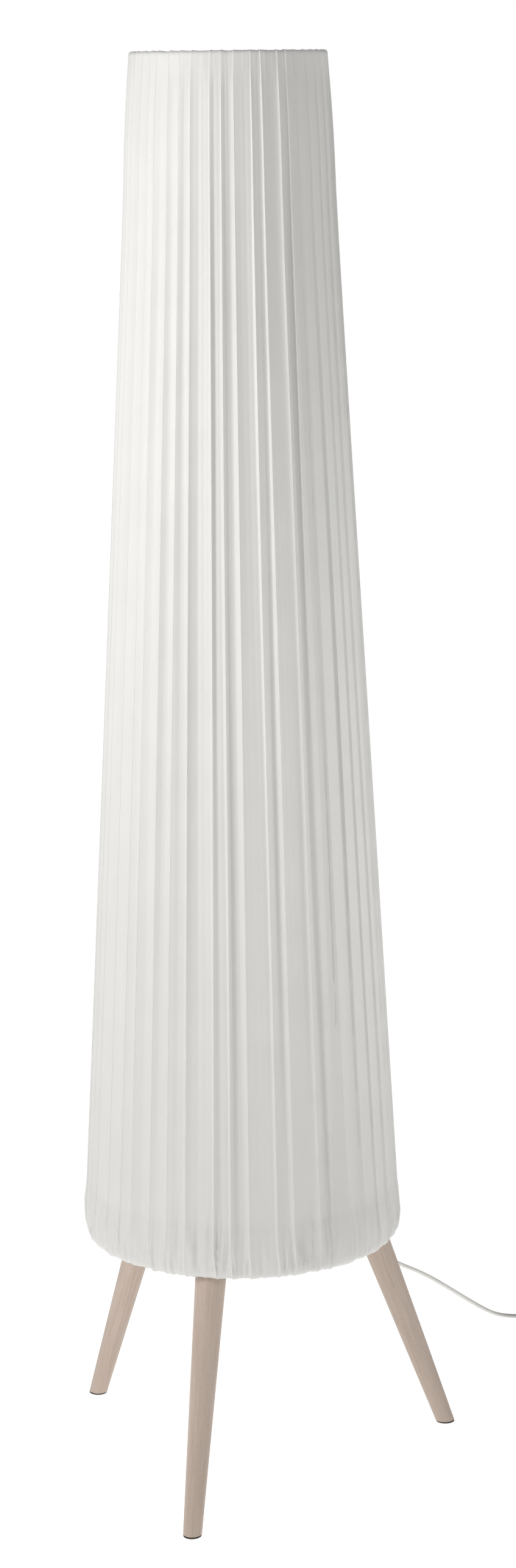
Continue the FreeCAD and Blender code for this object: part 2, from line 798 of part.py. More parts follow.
def make_plug():
    frame = plug_frame()
    thick, half, length = size("plug_thick"), size("plug_wide") / 2, size("plug_long")
    tail = 16.0
    outline = [(tail - 2, 7.0), (tail + 8, 9.5), (tail + 19, half), (tail + length, half)]
    corners = outline + [(x, -y) for x, y in reversed(outline)]
    face = Part.Face(Part.makePolygon([Vector(x, y, 0) for x, y in corners + corners[:1]]))
    body = face.extrude(Vector(0, 0, thick))
    upright = [edge for edge in body.Edges if abs(edge.Length - thick) < 1e-6]
    body = body.makeFillet(2.5, upright)
    front = tail + length
    level = [edge for edge in body.Edges if edge.BoundBox.ZLength < 1e-6]
    rims = [edge for edge in level if edge.BoundBox.XMin < front - 1]
    body = body.makeFillet(1.6, rims)
    sleeve = Part.makeCone(3.3, 5.6, tail + 2, Vector(0, 0, thick / 2), Vector(1, 0, 0))
    body = body.fuse(sleeve)
    pins, sleeves = [], []
    pin_radius = size("pin_radius")
    core_radius, bore_radius = 1.3, 1.32  # the pin's thin root, and the hole that holds it
    root, sleeved, bare_long = 8.0, 10.0, 8.0  # lengths of a pin: in the body, in its sleeve, bare

    def pin_rod(radius, low, long, y):
        """A cylinder along a pin, from a distance past the plug's front face."""
        return Part.makeCylinder(radius, long, Vector(front + low, y, thick / 2), Vector(1, 0, 0))

    for side in (-1, 1):
        y = side * size("pin_gap") / 2
        core = pin_rod(core_radius, -root, root + sleeved, y)
        bare = pin_rod(pin_radius, sleeved, bare_long, y)
        tip = Part.makeSphere(pin_radius, Vector(front + sleeved + bare_long, y, thick / 2))
        beyond = Part.makeBox(3, 10, 10, Vector(front + sleeved + bare_long - 0.1, y - 5, thick / 2 - 5))
        pins.append(core.fuse([bare, tip.common(beyond)]).removeSplitter())
        sleeves.append(pin_rod(pin_radius, 0.02, sleeved - 0.05, y).cut(pin_rod(bore_radius, -5, 20, y)))
        body = body.cut(pin_rod(bore_radius, -root - 0.1, root + 0.1, y))
    solid(body.removeSplitter(), "plug_body", frame)
    solid(Part.makeCompound(pins), "plug_pins", frame)
    solid(Part.makeCompound(sleeves), "plug_pin_sleeves", frame)


# ---------------------------------------------------------------- checks and export
def check(items):
    for item in doc.Objects:
        if {"Invalid", "Error"} & set(item.State):
            raise RuntimeError(f"{item.Label} failed: {item.State}")
    for item in items:
        if item.Shape.isNull() or not item.Shape.isValid() or not item.Shape.Solids:
            raise RuntimeError(f"{item.Label} has no valid solid")


def export(items):
    os.makedirs("parts", exist_ok=True)
    for item in items:
        item.Shape.exportStep(os.path.join("parts", f"{item.Label}.step"))
    print(len(items), "nodes written")


fill_sheet()
make_legs()
make_pads()
make_plate()
make_studs_and_nuts()
make_stem()
make_stem_fasteners()
make_gland()
make_shade_frame()
make_fitter()
make_fabric()
make_holder()
make_bulb()
make_lead()
make_coil()
make_switch()
make_plug()
doc.recompute()
check(nodes)
export(nodes)
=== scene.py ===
"""A tripod floor lamp with a pleated cloth shade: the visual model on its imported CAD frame."""
import math

import bmesh
import bpy
import numpy as np
from mathutils import Matrix, Vector


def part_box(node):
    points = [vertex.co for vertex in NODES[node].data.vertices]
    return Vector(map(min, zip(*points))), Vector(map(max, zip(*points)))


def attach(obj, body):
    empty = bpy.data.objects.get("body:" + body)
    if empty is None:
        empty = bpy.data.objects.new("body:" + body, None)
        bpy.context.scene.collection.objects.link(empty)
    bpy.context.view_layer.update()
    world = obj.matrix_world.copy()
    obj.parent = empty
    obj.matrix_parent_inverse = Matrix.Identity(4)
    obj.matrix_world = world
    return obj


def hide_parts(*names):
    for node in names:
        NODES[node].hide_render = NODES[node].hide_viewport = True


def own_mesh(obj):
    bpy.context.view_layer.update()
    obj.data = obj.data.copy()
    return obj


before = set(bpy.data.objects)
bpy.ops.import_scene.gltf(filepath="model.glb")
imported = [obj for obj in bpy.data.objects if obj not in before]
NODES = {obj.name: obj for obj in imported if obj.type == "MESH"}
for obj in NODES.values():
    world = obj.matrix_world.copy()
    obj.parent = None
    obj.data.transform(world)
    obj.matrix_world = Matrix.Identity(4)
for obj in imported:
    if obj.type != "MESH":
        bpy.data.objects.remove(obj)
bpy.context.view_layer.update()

MM = 0.001


# ---------------------------------------------------------------- camera
def make_camera():
    """The photograph's viewpoint, in metres and degrees, for a frame of 847 x 2576."""
    yaw, pitch, roll = (math.radians(x) for x in (0.368, 11.972, -0.643))
    ahead = Vector((math.sin(yaw), math.cos(yaw), 0))
    right = Vector((math.cos(yaw), -math.sin(yaw), 0))
    up = Vector((0, 0, 1))
    view = ahead * math.cos(pitch) - up * math.sin(pitch)
    up = up * math.cos(pitch) + ahead * math.sin(pitch)
    right, up = (
        right * math.cos(roll) + up * math.sin(roll),
        up * math.cos(roll) - right * math.sin(roll),
    )
    data = bpy.data.cameras.new("camera")
    data.sensor_width = 36.0
    data.lens = 36.0 * 5452.35 / 2576.0
    data.clip_start, data.clip_end = 0.05, 60.0
    camera = bpy.data.objects.new("camera", data)
    bpy.context.scene.collection.objects.link(camera)
    turn = Matrix((right, up, -view)).transposed().to_4x4()
    camera.matrix_world = Matrix.Translation((0, -2.7137, 1.1661)) @ turn
    bpy.context.scene.camera = camera


# ---------------------------------------------------------------- materials
class Look:
    """One node material, with short calls for the nodes that it needs."""

    def __init__(self, name, colour, roughness, **sockets):
        self.material = bpy.data.materials.new(name)
        self.material.use_nodes = True
        self.material.diffuse_color = (*colour, 1)
        self.tree = self.material.node_tree
        self.shader = self.tree.nodes["Principled BSDF"]
        self.shader.inputs["Base Color"].default_value = (*colour, 1)
        self.shader.inputs["Roughness"].default_value = roughness
        for socket, value in sockets.items():
            self.shader.inputs[socket.replace("_", " ")].default_value = value

    def add(self, kind, inputs=None, **settings):
        node = self.tree.nodes.new("ShaderNode" + kind)
        for key, value in settings.items():
            setattr(node, key, value)
        for key, value in (inputs or {}).items():
            if isinstance(value, bpy.types.NodeSocket):
                self.tree.links.new(value, node.inputs[key])
            else:
                node.inputs[key].default_value = value
        return node

    def place(self):
        return self.add("TexCoord").outputs["Object"]

    def noise(self, at, scale, detail=3.0, rough=0.5):
        inputs = {"Vector": at, "Scale": scale, "Detail": detail, "Roughness": rough}
        return self.add("TexNoise", inputs).outputs["Fac"]

    def spread(self, value, low, high, start=0.0, end=1.0):
        """A value from start..end onto low..high."""
        inputs = {"Value": value, "From Min": start, "From Max": end, "To Min": low, "To Max": high}
        return self.add("MapRange", inputs).outputs["Result"]

    def math(self, operation, a, b=0.0):
        return self.add("Math", {0: a, 1: b}, operation=operation).outputs[0]

    def mix(self, factor, a, b):
        node = self.add("Mix", data_type="RGBA", blend_type="MIX")
        for socket, value in ((node.inputs[0], factor), (node.inputs[6], a), (node.inputs[7], b)):
            if isinstance(value, bpy.types.NodeSocket):
                self.tree.links.new(value, socket)
            else:
                socket.default_value = value if isinstance(value, float) else (*value, 1)
        return node.outputs[2]

    def colour(self, socket):
        self.tree.links.new(socket, self.shader.inputs["Base Color"])

    def rough(self, socket):
        self.tree.links.new(socket, self.shader.inputs["Roughness"])

    def bump(self, height, distance, strength=1.0):
        inputs = {"Height": height, "Distance": distance, "Strength": strength}
        earlier = self.shader.inputs["Normal"].links
        if earlier:
            inputs["Normal"] = earlier[0].from_socket
        node = self.add("Bump", inputs)
        self.tree.links.new(node.outputs["Normal"], self.shader.inputs["Normal"])


def cloth_look():
    """White satin-weave polyester: soft sheen, fine weave, faint slubs along the warp."""
    look = Look("shade_satin", (0.76, 0.745, 0.72), 0.5, Specular_IOR_Level=0.42,
                Sheen_Weight=0.18, Sheen_Roughness=0.45)
    uv = look.add("UVMap", uv_map="cloth").outputs["UV"]
    split = look.add("SeparateXYZ", {0: uv})
    across, along = split.outputs[0], split.outputs[1]
    warp = look.math("SINE", look.math("MULTIPLY", across, 2 * math.pi / 0.00042))
    weft = look.math("SINE", look.math("MULTIPLY", along, 2 * math.pi / 0.00055))
    weave = look.math("MULTIPLY", warp, weft)
    stretched = look.add("Mapping", {"Vector": uv, "Scale": (900.0, 24.0, 1.0)}).outputs[0]
    slub = look.noise(stretched, 1.0, 2.0)
    broad = look.noise(look.place(), 26.0, 2.0)
    pale, deeper = (0.648, 0.640, 0.616), (0.630, 0.623, 0.602)
    tint = look.mix(look.spread(broad, 0.0, 1.0, 0.3, 0.7), pale, deeper)
    tint = look.mix(look.spread(slub, 0.0, 0.10, 0.35, 0.7), tint, (0.575, 0.569, 0.556))
    look.colour(tint)
    look.rough(look.spread(slub, 0.44, 0.56, 0.3, 0.7))
    look.bump(weave, 0.00002, 0.5)
    look.bump(slub, 0.00004, 0.5)
    return look.material


def wood_look(name, azimuth, tilt):
    """Whitewashed beech, its grain running up one leg."""
    look = Look(name, (0.45, 0.37, 0.31), 0.5, Specular_IOR_Level=0.35, Coat_Weight=0.12,
                Coat_Roughness=0.35)
    turned = look.add("Mapping", {"Vector": look.place(), "Rotation": (0, 0, -azimuth)}).outputs[0]
    upright = look.add("Mapping", {"Vector": turned, "Rotation": (0, tilt, 0)}).outputs[0]
    wander = look.add("TexNoise", {"Vector": upright, "Scale": 9.0}).outputs["Color"]
    drift = look.add("VectorMath", {0: wander, 1: (0.004, 0.004, 0.0)}, operation="MULTIPLY").outputs[0]
    bent = look.add("VectorMath", {0: upright, 1: drift}, operation="ADD").outputs[0]
    grain_at = look.add("Mapping", {"Vector": bent, "Scale": (420.0, 420.0, 16.0)}).outputs[0]
    grain = look.noise(grain_at, 1.0, 5.0, 0.6)
    band_at = look.add("Mapping", {"Vector": bent, "Scale": (90.0, 55.0, 1.6)}).outputs[0]
    band = look.noise(band_at, 1.0, 2.0)
    fleck_at = look.add("Mapping", {"Vector": bent, "Scale": (1300.0, 1300.0, 170.0)}).outputs[0]
    fleck = look.add("TexVoronoi", {"Vector": fleck_at, "Scale": 1.0}, feature="F1").outputs["Distance"]
    fleck = look.spread(fleck, 1.0, 0.0, 0.10, 0.30)
    pale, dark = (0.525, 0.425, 0.358), (0.455, 0.358, 0.294)
    tint = look.mix(look.spread(grain, 0.0, 1.0, 0.34, 0.68), dark, pale)
    tint = look.mix(look.spread(band, 0.0, 0.35, 0.40, 0.66), tint, (0.545, 0.448, 0.38))
    tint = look.mix(look.math("MULTIPLY", fleck, 0.30), tint, (0.26, 0.185, 0.14))
    look.colour(tint)
    look.rough(look.spread(grain, 0.58, 0.46, 0.3, 0.7))
    look.bump(grain, 0.00012, 0.5)
    look.bump(fleck, -0.00010, 0.5)
    return look.material


def plastic_look(name, colour, roughness, scale=2600.0):
    """Moulded plastic with a fine spark-eroded surface and slight handling marks."""
    look = Look(name, colour, roughness)
    at = look.place()
    fine = look.noise(at, scale, 2.0)
    broad = look.noise(at, 60.0, 3.0)
    darker = tuple(x * 0.93 for x in colour)
    look.colour(look.mix(look.spread(broad, 0.0, 1.0, 0.3, 0.7), colour, darker))
    look.rough(look.spread(broad, roughness - 0.05, roughness + 0.07, 0.3, 0.7))
    look.bump(fine, 0.00003, 0.6)
    return look.material


def metal_look(name, colour, roughness, mottled=0.12):
    """Plated or drawn metal with mottling in its colour and gloss."""
    look = Look(name, colour, roughness, Metallic=1.0)
    at = look.place()
    cloud = look.noise(at, 140.0, 4.0, 0.6)
    streak_at = look.add("Mapping", {"Vector": at, "Scale": (1200.0, 1200.0, 90.0)}).outputs[0]
    streak = look.noise(streak_at, 1.0, 2.0)
    darker = tuple(x * (1 - mottled) for x in colour)
    look.colour(look.mix(look.spread(cloud, 0.0, 1.0, 0.35, 0.65), colour, darker))
    look.rough(look.spread(cloud, roughness - 0.06, roughness + 0.10, 0.3, 0.7))
    look.bump(streak, 0.00002, 0.4)
    return look.material


def painted_look(name, colour, roughness):
    """Powder coat over steel: a fine orange peel."""
    look = Look(name, colour, roughness, Specular_IOR_Level=0.5)
    at = look.place()
    peel = look.noise(at, 900.0, 2.0)
    broad = look.noise(at, 45.0, 2.0)
    darker = tuple(x * 0.95 for x in colour)
    look.colour(look.mix(look.spread(broad, 0.0, 1.0, 0.3, 0.7), colour, darker))
    look.rough(look.spread(peel, roughness - 0.05, roughness + 0.05, 0.3, 0.7))
    look.bump(peel, 0.00006, 0.5)
    return look.material


def globe_look():
    """Opal glass, lamp not lit: white, glossy, a little light carried inside it."""
    look = Look("opal_glass", (0.86, 0.86, 0.85), 0.16, Subsurface_Weight=0.25, Subsurface_Scale=0.01,
                Subsurface_Radius=(1.0, 1.0, 1.0),
                Coat_Weight=0.4, Coat_Roughness=0.06)
    cloud = look.noise(look.place(), 55.0, 2.0)
    pale, deeper = (0.87, 0.87, 0.86), (0.83, 0.835, 0.83)
    look.colour(look.mix(look.spread(cloud, 0.0, 1.0, 0.3, 0.7), pale, deeper))
    look.rough(look.spread(cloud, 0.12, 0.20, 0.3, 0.7))
    return look.material


def sheath_look():
    """Pale grey vinyl: satin, with a fine grain in its surface and faint scuffs."""
    look = Look("lead_sheath", (0.72, 0.705, 0.665), 0.4, Specular_IOR_Level=0.5)
    at = look.place()
    broad = look.noise(at, 70.0, 3.0)
    fine = look.noise(at, 2400.0, 2.0)
    pale, deeper = (0.735, 0.72, 0.68), (0.69, 0.675, 0.635)
    look.colour(look.mix(look.spread(broad, 0.0, 1.0, 0.3, 0.7), pale, deeper))
    look.rough(look.spread(broad, 0.34, 0.48, 0.3, 0.7))
    look.bump(fine, 0.00002, 0.5)
    return look.material


def elastic_look():
    """A cord of elastic in a white braid, with painted shade in the gaps between its strands."""
    look = Look("elastic_braid", (0.78, 0.77, 0.75), 0.75, Sheen_Weight=0.2)
    at = look.add("Mapping", {"Vector": look.place(), "Scale": (1800.0, 1800.0, 2600.0)}).outputs[0]
    braid = look.add("TexVoronoi", {"Vector": at, "Scale": 1.0}, feature="F1").outputs["Distance"]
    # gap is the braid's white darkened: painted shade in the recesses between the strands
    strand, gap = (0.80, 0.79, 0.77), (0.62, 0.61, 0.59)
    look.colour(look.mix(look.spread(braid, 0.0, 1.0, 0.1, 0.7), strand, gap))
    look.bump(braid, -0.00015, 0.6)
    return look.material


def pad_look():
    """The thin dark rubber pads under the legs, matt and finely grained."""
    look = Look("foot_rubber", (0.045, 0.04, 0.036), 0.85, Specular_IOR_Level=0.3)
    grain = look.noise(look.place(), 2200.0, 3.0, 0.6)
    dark, worn = (0.03, 0.027, 0.024), (0.075, 0.068, 0.06)
    look.colour(look.mix(look.spread(grain, 0.0, 1.0, 0.3, 0.7), dark, worn))
    look.bump(grain, 0.00006, 0.6)
    return look.material


def floor_look():
    """A pale studio floor, lit a little from beneath as a light table is."""
    look = Look("studio_floor", (0.86, 0.86, 0.86), 0.75, Emission_Color=(1, 1, 1, 1),
                Emission_Strength=0.8)
    cloud = look.noise(look.place(), 3.0, 3.0)
    look.colour(look.mix(look.spread(cloud, 0.0, 1.0, 0.3, 0.7), (0.86, 0.86, 0.86), (0.84, 0.84, 0.84)))
    return look.material


def dress(material, *names):
    """Gives CAD nodes a material in all their slots."""
    for name in names:
        slots = NODES[name].material_slots
        for slot in slots:
            slot.material = material
        if not slots:
            NODES[name].data.materials.append(material)


# ---------------------------------------------------------------- meshes
def new_piece(name, points, faces, material, body="lamp"):
    """A smooth-shaded mesh, its points in metres, that rides on one body."""
    data = bpy.data.meshes.new(name)
    data.from_pydata([tuple(p) for p in points], [], faces)
    data.validate()
    data.polygons.foreach_set("use_smooth", [True] * len(data.polygons))
    data.materials.append(material)
    piece = bpy.data.objects.new(name, data)
    bpy.context.scene.collection.objects.link(piece)
    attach(piece, body)
    return piece


def ease(value, start, end):
    t = np.clip((np.asarray(value, float) - start) / (end - start), 0.0, 1.0)
    return t * t * (3 - 2 * t)


# ---------------------------------------------------------------- cords
LEAD = [(0, 0, 246), (0, 0, 221), (11.5, 13.7, 193.5), (36.6, 43.7, 173), (69.4, 82.7, 158),
        (105, 125.2, 138.5), (138.5, 165.2, 107), (171, 203.8, 79.5), (204.4, 243.6, 44),
        (235, 280, 12.5), (254, 295.5, 2.4), (278.5, 297.5, 1.75), (301.3, 287, 1.75),
        (316.7, 267.3, 2.9), (322.4, 246, 7)]
LEAD_IN = [(342.6, 170.7, 7), (347.4, 150.4, 2.6), (349, 131, 2.9), (347.6, 112, 3.65)]
TAIL = [(347.6, 97, 9), (348.6, 76, 8), (346.6, 54, 3.1), (341.4, 33, 6.85)]
COIL = (313, 104)
FLAT, THICK = 5.4, 3.4  # the two-core lead's width and thickness
END_POINTS = 8  # points round each half-round edge of it


def coil_points():
    """Six neat turns, clockwise from above: three in, a step up, and three out on top of them."""
    rng = np.random.default_rng(5)
    low, high, per_turn = 3.65, 9.15, 16
    cut_in = 0.981  # the curve's radius as a share of its control points' radius
    points = []
    for step in range(1, 6 * per_turn):
        turn = step / per_turn
        inward = 35 - 3.5 * min(turn, 2)
        outward = 3.5 * min(max(turn - 3, 0), 2)
        radius = (inward + outward) / cut_in + rng.uniform(-0.25, 0.25)
        height = low + (high - low) * float(ease(turn, 2.72, 3.1))
        angle = -2 * math.pi * turn
        points.append((COIL[0] + radius * math.cos(angle), COIL[1] + radius * math.sin(angle), height))
    return points


def centreline(points, name):
    """The points of the NURBS curve that has these control points, in metres."""
    data = bpy.data.curves.new(name, "CURVE")
    data.dimensions = "3D"
    spline = data.splines.new("NURBS")
    spline.points.add(len(points) - 1)
    for knot, point in zip(spline.points, points):
        knot.co = (*(x * MM for x in point), 1)
    spline.order_u = 3
    spline.use_endpoint_u = True
    spline.resolution_u = 8
    holder = bpy.data.objects.new(name, data)
    mesh = bpy.data.meshes.new_from_object(holder)
    line = np.array([v.co for v in mesh.vertices], float)
    bpy.data.objects.remove(holder)
    bpy.data.curves.remove(data)
    bpy.data.meshes.remove(mesh)
    return line


def tube_faces(rows, around):
    """Quads for rows of points round a tube, and a face over each of its ends."""
    faces = [
        (row * around + i, row * around + (i + 1) % around, (row + 1) * around + (i + 1) % around,
         (row + 1) * around + i)
        for row in range(rows - 1) for i in range(around)
    ]
    last = (rows - 1) * around
    return faces + [tuple(range(around))[::-1], tuple(range(last, last + around))]


def lead_section():
    """Half-round ends and flat sides, as metres across and through the lead."""
    straight, end = (FLAT - THICK) / 2, THICK / 2
    section = []
    for side in (1, -1):
        for step in range(END_POINTS):
            angle = side * math.pi / 2 - math.pi * step / (END_POINTS - 1)
            section.append((side * straight + end * math.cos(angle), end * math.sin(angle)))
    return np.array(section) * MM


def flat_lead(name, line, upright, material):
    """A flat lead along a centreline. upright, per point, is 0 lying flat to 1 standing on its edge."""
    tangent = np.gradient(line, axis=0)
    tangent /= np.linalg.norm(tangent, axis=1)[:, None]
    level = np.stack([tangent[:, 1], -tangent[:, 0], np.zeros(len(line))], axis=1)
    length = np.linalg.norm(level, axis=1)
    first = int(np.argmax(length > 0.2))
    level[:first] = level[first]
    level -= (level * tangent).sum(1)[:, None] * tangent
    level /= np.linalg.norm(level, axis=1)[:, None]
    other = np.cross(tangent, level)
    angle = np.asarray(upright) * math.pi / 2
    wide = level * np.cos(angle)[:, None] + other * np.sin(angle)[:, None]
    thin = np.cross(wide, tangent)
    section = lead_section()
    points = line[:, None] + wide[:, None] * section[None, :, :1] + thin[:, None] * section[None, :, 1:]
    return new_piece(name, points.reshape(-1, 3), tube_faces(len(line), len(section)), material)


def make_spring(material):
    """The foot switch's return spring: four turns, drawn at rest; the real one closes up as the button
    goes down.
    """
    wire, radius, bottom, top = 0.35, 4.6, 2.4, 13.6  # millimetres, to the middle of the wire
    turns, around, travel = 4, 10, 3.0
    corners = np.array(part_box("switch_spring"))
    middle = corners.mean(axis=0)
    share = np.linspace(0, 1, 32 * turns + 1)
    turn = 2 * math.pi * turns * share
    outward = np.stack([np.cos(turn), np.sin(turn), 0 * turn], axis=1)
    line = outward * radius * MM
    line += np.array([middle[0], middle[1], bottom * MM])
    line[:, 2] += (top - bottom) * MM * share
    angle = np.linspace(0, 2 * math.pi, around, endpoint=False)[None, :, None]
    section = outward[:, None] * np.cos(angle) - np.array([0, 0, 1]) * np.sin(angle)
    points = line[:, None] + section * wire * MM
    spring = new_piece("return_spring", points.reshape(-1, 3), tube_faces(len(line), around), material)
    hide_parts("switch_spring")
    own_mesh(spring)
    return spring


def make_cords(material, spring):
    """Lamp to foot switch, and foot switch through the put-away coil to the plug."""
    line = centreline(LEAD, "lead_line")
    lead = flat_lead("lead_to_switch", line, np.zeros(len(line)), material)
    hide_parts("cord_run")

    line = centreline(LEAD_IN + coil_points() + TAIL, "coil_line")
    away = np.concatenate([[0], np.cumsum(np.linalg.norm(np.diff(line, axis=0), axis=1))])
    total = away[-1]
    upright = ease(away, 0.012, 0.050) * (1 - ease(away, total - 0.058, total - 0.014))
    rest = flat_lead("lead_to_plug", line, upright, material)
    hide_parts("cord_to_coil", "cord_coil", "cord_to_plug")


# ---------------------------------------------------------------- pleated shade
PLEATS = 46
PANEL = [step / 13 for step in range(14)]  # shares of the panel's width
RISE = [0.14, 0.34, 0.58, 0.82, 0.97, 1.0]  # shares of the width of the rise to the fold
UNDER = [(0.82, 1), (0.34, 1), (0.34, 2), (0.82, 2)]  # back under the rise and out again: share, layer
PLY = 0.03  # millimetres from one layer of a fold to the next
RING = (74.1, 1184.4)  # the top ring's wire: radius from the lamp's axis, and height
RIM_TOP = 1184.0  # where the cover's wall starts, below the roll round the ring
WALL = 983.0  # from there down to the hem
BULGE = (0.9, 114.4)  # under the ring the wall stands out by up to this, over this height
INMOST, OUTMOST, KEPT = 0.7, 0.6, 0.35  # a wrinkle beyond these keeps this share of what is over


def cover_radius(height):
    return 79.9 + 0.0569 * (1180.0 - height)


def cover_rows():
    """Rows of the cover, from inside the rim down to inside the hem: radius, height, pleat depth."""
    rows = []
    for degrees in np.linspace(205, 8, 14):
        angle = math.radians(degrees)
        out = 3.35 + 2.1 * float(ease(degrees, 175, 40))
        if degrees < 90:
            out *= 1 + 0.2 * math.sin(2 * angle) ** 2  # a squarer corner, as cloth pulled over a wire has
        at = RING[0] + out * math.cos(angle), RING[1] + out * math.sin(angle)
        rows.append((*at, (out - 3.0) * 0.28))
    heights = np.concatenate([np.linspace(1183, 1160, 8), np.linspace(1150, 1080, 6),
                              np.linspace(1040, 290, 16), np.linspace(270, 246, 5)])
    for height in heights:
        bulge = BULGE[0] * math.sin(math.pi * min(max((RING[1] - height) / BULGE[1], 0), 1))
        low = float(ease(height, 420, 240))
        deep = 0.7 + 1.3 * float(ease(height, RIM_TOP, 1150)) + 1.6 * float(ease(height, 1165, 960))
        rows.append((cover_radius(height) + bulge + 0.2 * low, height, deep - 0.35 * low))
    # radius and height: down the hip, in under the bottom ring and up inside it
    hip = np.array([(133.25, 246), (134.45, 235), (135.1, 225), (135.15, 215), (134.4, 208.5),
                    (133.0, 204.6), (130.6, 202.3), (128.0, 201.4), (126.3, 201.7), (125.35, 203.2),
                    (125.25, 205.2), (125.75, 207.2), (126.9, 208.6)])
    away = np.concatenate([[0], np.cumsum(np.linalg.norm(np.diff(hip, axis=0), axis=1))])
    slope = np.gradient(hip, away, axis=0)
    for at in np.linspace(0, away[-1], 37)[1:]:
        i = min(int(np.searchsorted(away, at, "right")) - 1, len(hip) - 2)
        span = away[i + 1] - away[i]
        t = (at - away[i]) / span
        point = ((2 * t**3 - 3 * t**2 + 1) * hip[i] + (t**3 - 2 * t**2 + t) * span * slope[i]
                 + (3 * t**2 - 2 * t**3) * hip[i + 1] + (t**3 - t**2) * span * slope[i + 1])
        deep = 3.05 - 0.9 * float(ease(at, 4, 26)) - 1.1 * float(ease(at, 34, 50))
        rows.append((point[0], point[1], deep))
    return np.array(rows)


def waves(rng, low, high, count):
    """A smooth ripple round the shade, as a function of azimuth, made of a few close frequencies."""
    counts = rng.integers(low, high, count)
    phase = rng.uniform(0, 2 * math.pi, count)
    size = rng.uniform(0.5, 1.0, count)
    size /= np.sqrt((size**2).sum() / 2)
    return lambda azimuth: sum(a * np.sin(n * azimuth + p) for a, n, p in zip(size, counts, phase))


def wrinkles(rng, azimuth, away, radius, count, reach, size, width):
    """Short gathers that start at a drawn edge. away is each row's distance from it, in mm."""
    total = np.zeros_like(azimuth)
    for _ in range(count):
        middle = rng.uniform(0, 2 * math.pi)
        long_ = rng.uniform(*reach) * rng.uniform(0.5, 1.0)
        tall = rng.uniform(*size) * rng.choice((-1, 1), p=(0.5, 0.5))  # a furrow or a ridge
        broad, lean, bend = rng.uniform(*width), rng.uniform(-0.10, 0.10), rng.uniform(-1.2, 1.2)
        share = away / long_
        gap = (azimuth - middle + math.pi) % (2 * math.pi) - math.pi
        gap = gap * radius[:, None] - (lean * away + bend * share**2)[:, None]
        fade = (np.clip(1 - share, 0, 1) ** 0.8 * (0.15 + 0.85 * ease(away, -2, 12)))[:, None]
        total += tall * fade * np.exp(-(np.abs(gap) / (broad * (0.5 + 0.5 * fade))) ** 1.2)
    return total


